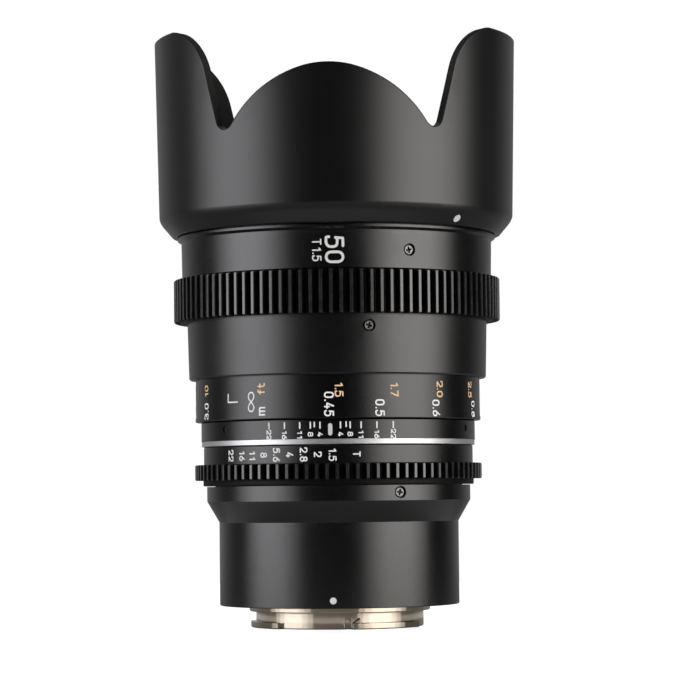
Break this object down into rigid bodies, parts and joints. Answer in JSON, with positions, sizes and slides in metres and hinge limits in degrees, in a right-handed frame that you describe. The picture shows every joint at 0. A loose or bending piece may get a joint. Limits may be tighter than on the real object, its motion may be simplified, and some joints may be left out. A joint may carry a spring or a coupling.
{
  "type": "cinema prime lens",
  "caption": "Manual cinema prime lens with a geared focus ring, a geared aperture ring driving a blade iris, a rear bayonet and a petal hood.",
  "frame": {"origin": "centre of the bayonet's flange plane, on the lens axis", "axes": "+Z along the lens axis from the mount to the hood, -Y through the focus index line, +X to its right as seen from outside"},
  "size_m": [0.094, 0.0934, 0.1516],
  "materials": {
    "bayonet_metal": "champagne coloured hard plating on brass, turned",
    "screw_steel": "bright countersunk screws",
    "dark_screw": "black oxide",
    "inner_black": "matt black anodised",
    "front_trim_black": "satin black anodised, turned grooves",
    "rear_black": "satin black anodised",
    "ring_black": "satin black anodised, engraved and filled white",
    "sleeve_black": "satin black anodised",
    "gear_black": "black anodised, machined teeth",
    "bright_ring": "bright turned",
    "white_bead": "white inlay",
    "hood_black": "satin outside, matt inside",
    "pin_steel": "ground steel",
    "roller_brass": "turned brass",
    "blade_steel": "blackened spring steel",
    "optical_glass": "coated optical glass"
  },
  "bodies": {
    "lens_body": {"mount_bayonet": "bayonet_metal", "mount_screws": "screw_steel", "rear_baffle": "inner_black", "rear_barrel": "rear_black", "mount_index_dot": "white_bead", "rear_barrel_screws": "screw_steel", "guide_barrel": "inner_black", "trim_ring": "bright_ring", "index_ring": "ring_black", "index_ring_screws": "dark_screw", "front_barrel": "ring_black", "front_barrel_screws": "screw_steel", "front_bezel": "front_trim_black"},
    "focus_ring": {"focus_cam_barrel": "inner_black", "distance_scale_ring": "ring_black", "focus_sleeve": "sleeve_black", "focus_sleeve_screws": "screw_steel", "focus_gear": "gear_black"},
    "aperture_ring": {"aperture_ring": "ring_black", "aperture_gear": "gear_black", "aperture_drive_pin": "pin_steel"},
    "optical_unit": {"lens_barrel": "inner_black", "front_cell": "inner_black", "front_spacer": "inner_black", "front_retainer": "front_trim_black", "rear_cell": "inner_black", "spacer_5_6": "inner_black", "spacer_7_8": "inner_black", "spacer_8_9": "inner_black", "rear_retainer": "inner_black", "cam_followers": "pin_steel", "follower_rollers": "roller_brass", "iris_housing": "inner_black", "iris_cover": "inner_black", "lens_1": "optical_glass", "lens_2": "optical_glass", "lens_3": "optical_glass", "lens_4": "optical_glass", "lens_5": "optical_glass", "lens_6": "optical_glass", "lens_7": "optical_glass", "lens_8": "optical_glass", "lens_9": "optical_glass"},
    "iris_cam": {"iris_cam_ring": "inner_black"},
    "hood": {"hood": "hood_black", "hood_bayonet_ring": "hood_black", "hood_index_dot": "white_bead"},
    "blade_1": {"iris_blade_1": "blade_steel"},
    "blade_2": {"iris_blade_2": "blade_steel"},
    "blade_3": {"iris_blade_3": "blade_steel"},
    "blade_4": {"iris_blade_4": "blade_steel"},
    "blade_5": {"iris_blade_5": "blade_steel"},
    "blade_6": {"iris_blade_6": "blade_steel"},
    "blade_7": {"iris_blade_7": "blade_steel"},
    "blade_8": {"iris_blade_8": "blade_steel"}
  },
  "joints": [
    {"name": "focus_turn", "type": "hinge", "parent": "lens_body", "child": "focus_ring", "pos_m": [0, 0, 0], "axis": [0, 0, 1], "range_deg": [-150, 0]},
    {"name": "focus_travel", "type": "slide", "parent": "lens_body", "child": "optical_unit", "axis": [0, 0, 1], "range_m": [-0.0073, 0]},
    {"name": "aperture_turn", "type": "hinge", "parent": "lens_body", "child": "aperture_ring", "pos_m": [0, 0, 0], "axis": [0, 0, 1], "range_deg": [0, 50.5]},
    {"name": "iris_cam_turn", "type": "hinge", "parent": "optical_unit", "child": "iris_cam", "pos_m": [0, 0, 0], "axis": [0, 0, 1], "range_deg": [0, 50.5]},
    {"name": "blade_1_swing", "type": "hinge", "parent": "optical_unit", "child": "blade_1", "pos_m": [0.0216, 0, 0.064], "axis": [0, 0, 1], "range_deg": [0, 36]},
    {"name": "blade_2_swing", "type": "hinge", "parent": "optical_unit", "child": "blade_2", "pos_m": [0.01528, 0.01528, 0.064], "axis": [0, 0, 1], "range_deg": [0, 36]},
    {"name": "blade_3_swing", "type": "hinge", "parent": "optical_unit", "child": "blade_3", "pos_m": [0, 0.0216, 0.064], "axis": [0, 0, 1], "range_deg": [0, 36]},
    {"name": "blade_4_swing", "type": "hinge", "parent": "optical_unit", "child": "blade_4", "pos_m": [-0.01528, 0.01528, 0.064], "axis": [0, 0, 1], "range_deg": [0, 36]},
    {"name": "blade_5_swing", "type": "hinge", "parent": "optical_unit", "child": "blade_5", "pos_m": [-0.0216, 0, 0.064], "axis": [0, 0, 1], "range_deg": [0, 36]},
    {"name": "blade_6_swing", "type": "hinge", "parent": "optical_unit", "child": "blade_6", "pos_m": [-0.01528, -0.01528, 0.064], "axis": [0, 0, 1], "range_deg": [0, 36]},
    {"name": "blade_7_swing", "type": "hinge", "parent": "optical_unit", "child": "blade_7", "pos_m": [0, -0.0216, 0.064], "axis": [0, 0, 1], "range_deg": [0, 36]},
    {"name": "blade_8_swing", "type": "hinge", "parent": "optical_unit", "child": "blade_8", "pos_m": [0.01528, -0.01528, 0.064], "axis": [0, 0, 1], "range_deg": [0, 36]},
    {"name": "hood_twist", "type": "hinge", "parent": "lens_body", "child": "hood", "pos_m": [0, 0, 0], "axis": [0, 0, 1], "range_deg": [0, 60]}
  ],
  "couplings": [
    {"joint": "focus_travel", "follows": "focus_turn", "m_per_rad": 0.002788},
    {"joint": "iris_cam_turn", "follows": "aperture_turn", "ratio": 1},
    {"joint": "blade_1_swing", "follows": "aperture_turn", "ratio": 0.7073},
    {"joint": "blade_2_swing", "follows": "aperture_turn", "ratio": 0.7073},
    {"joint": "blade_3_swing", "follows": "aperture_turn", "ratio": 0.7073},
    {"joint": "blade_4_swing", "follows": "aperture_turn", "ratio": 0.7073},
    {"joint": "blade_5_swing", "follows": "aperture_turn", "ratio": 0.7073},
    {"joint": "blade_6_swing", "follows": "aperture_turn", "ratio": 0.7073},
    {"joint": "blade_7_swing", "follows": "aperture_turn", "ratio": 0.7073},
    {"joint": "blade_8_swing", "follows": "aperture_turn", "ratio": 0.7073}
  ]
}
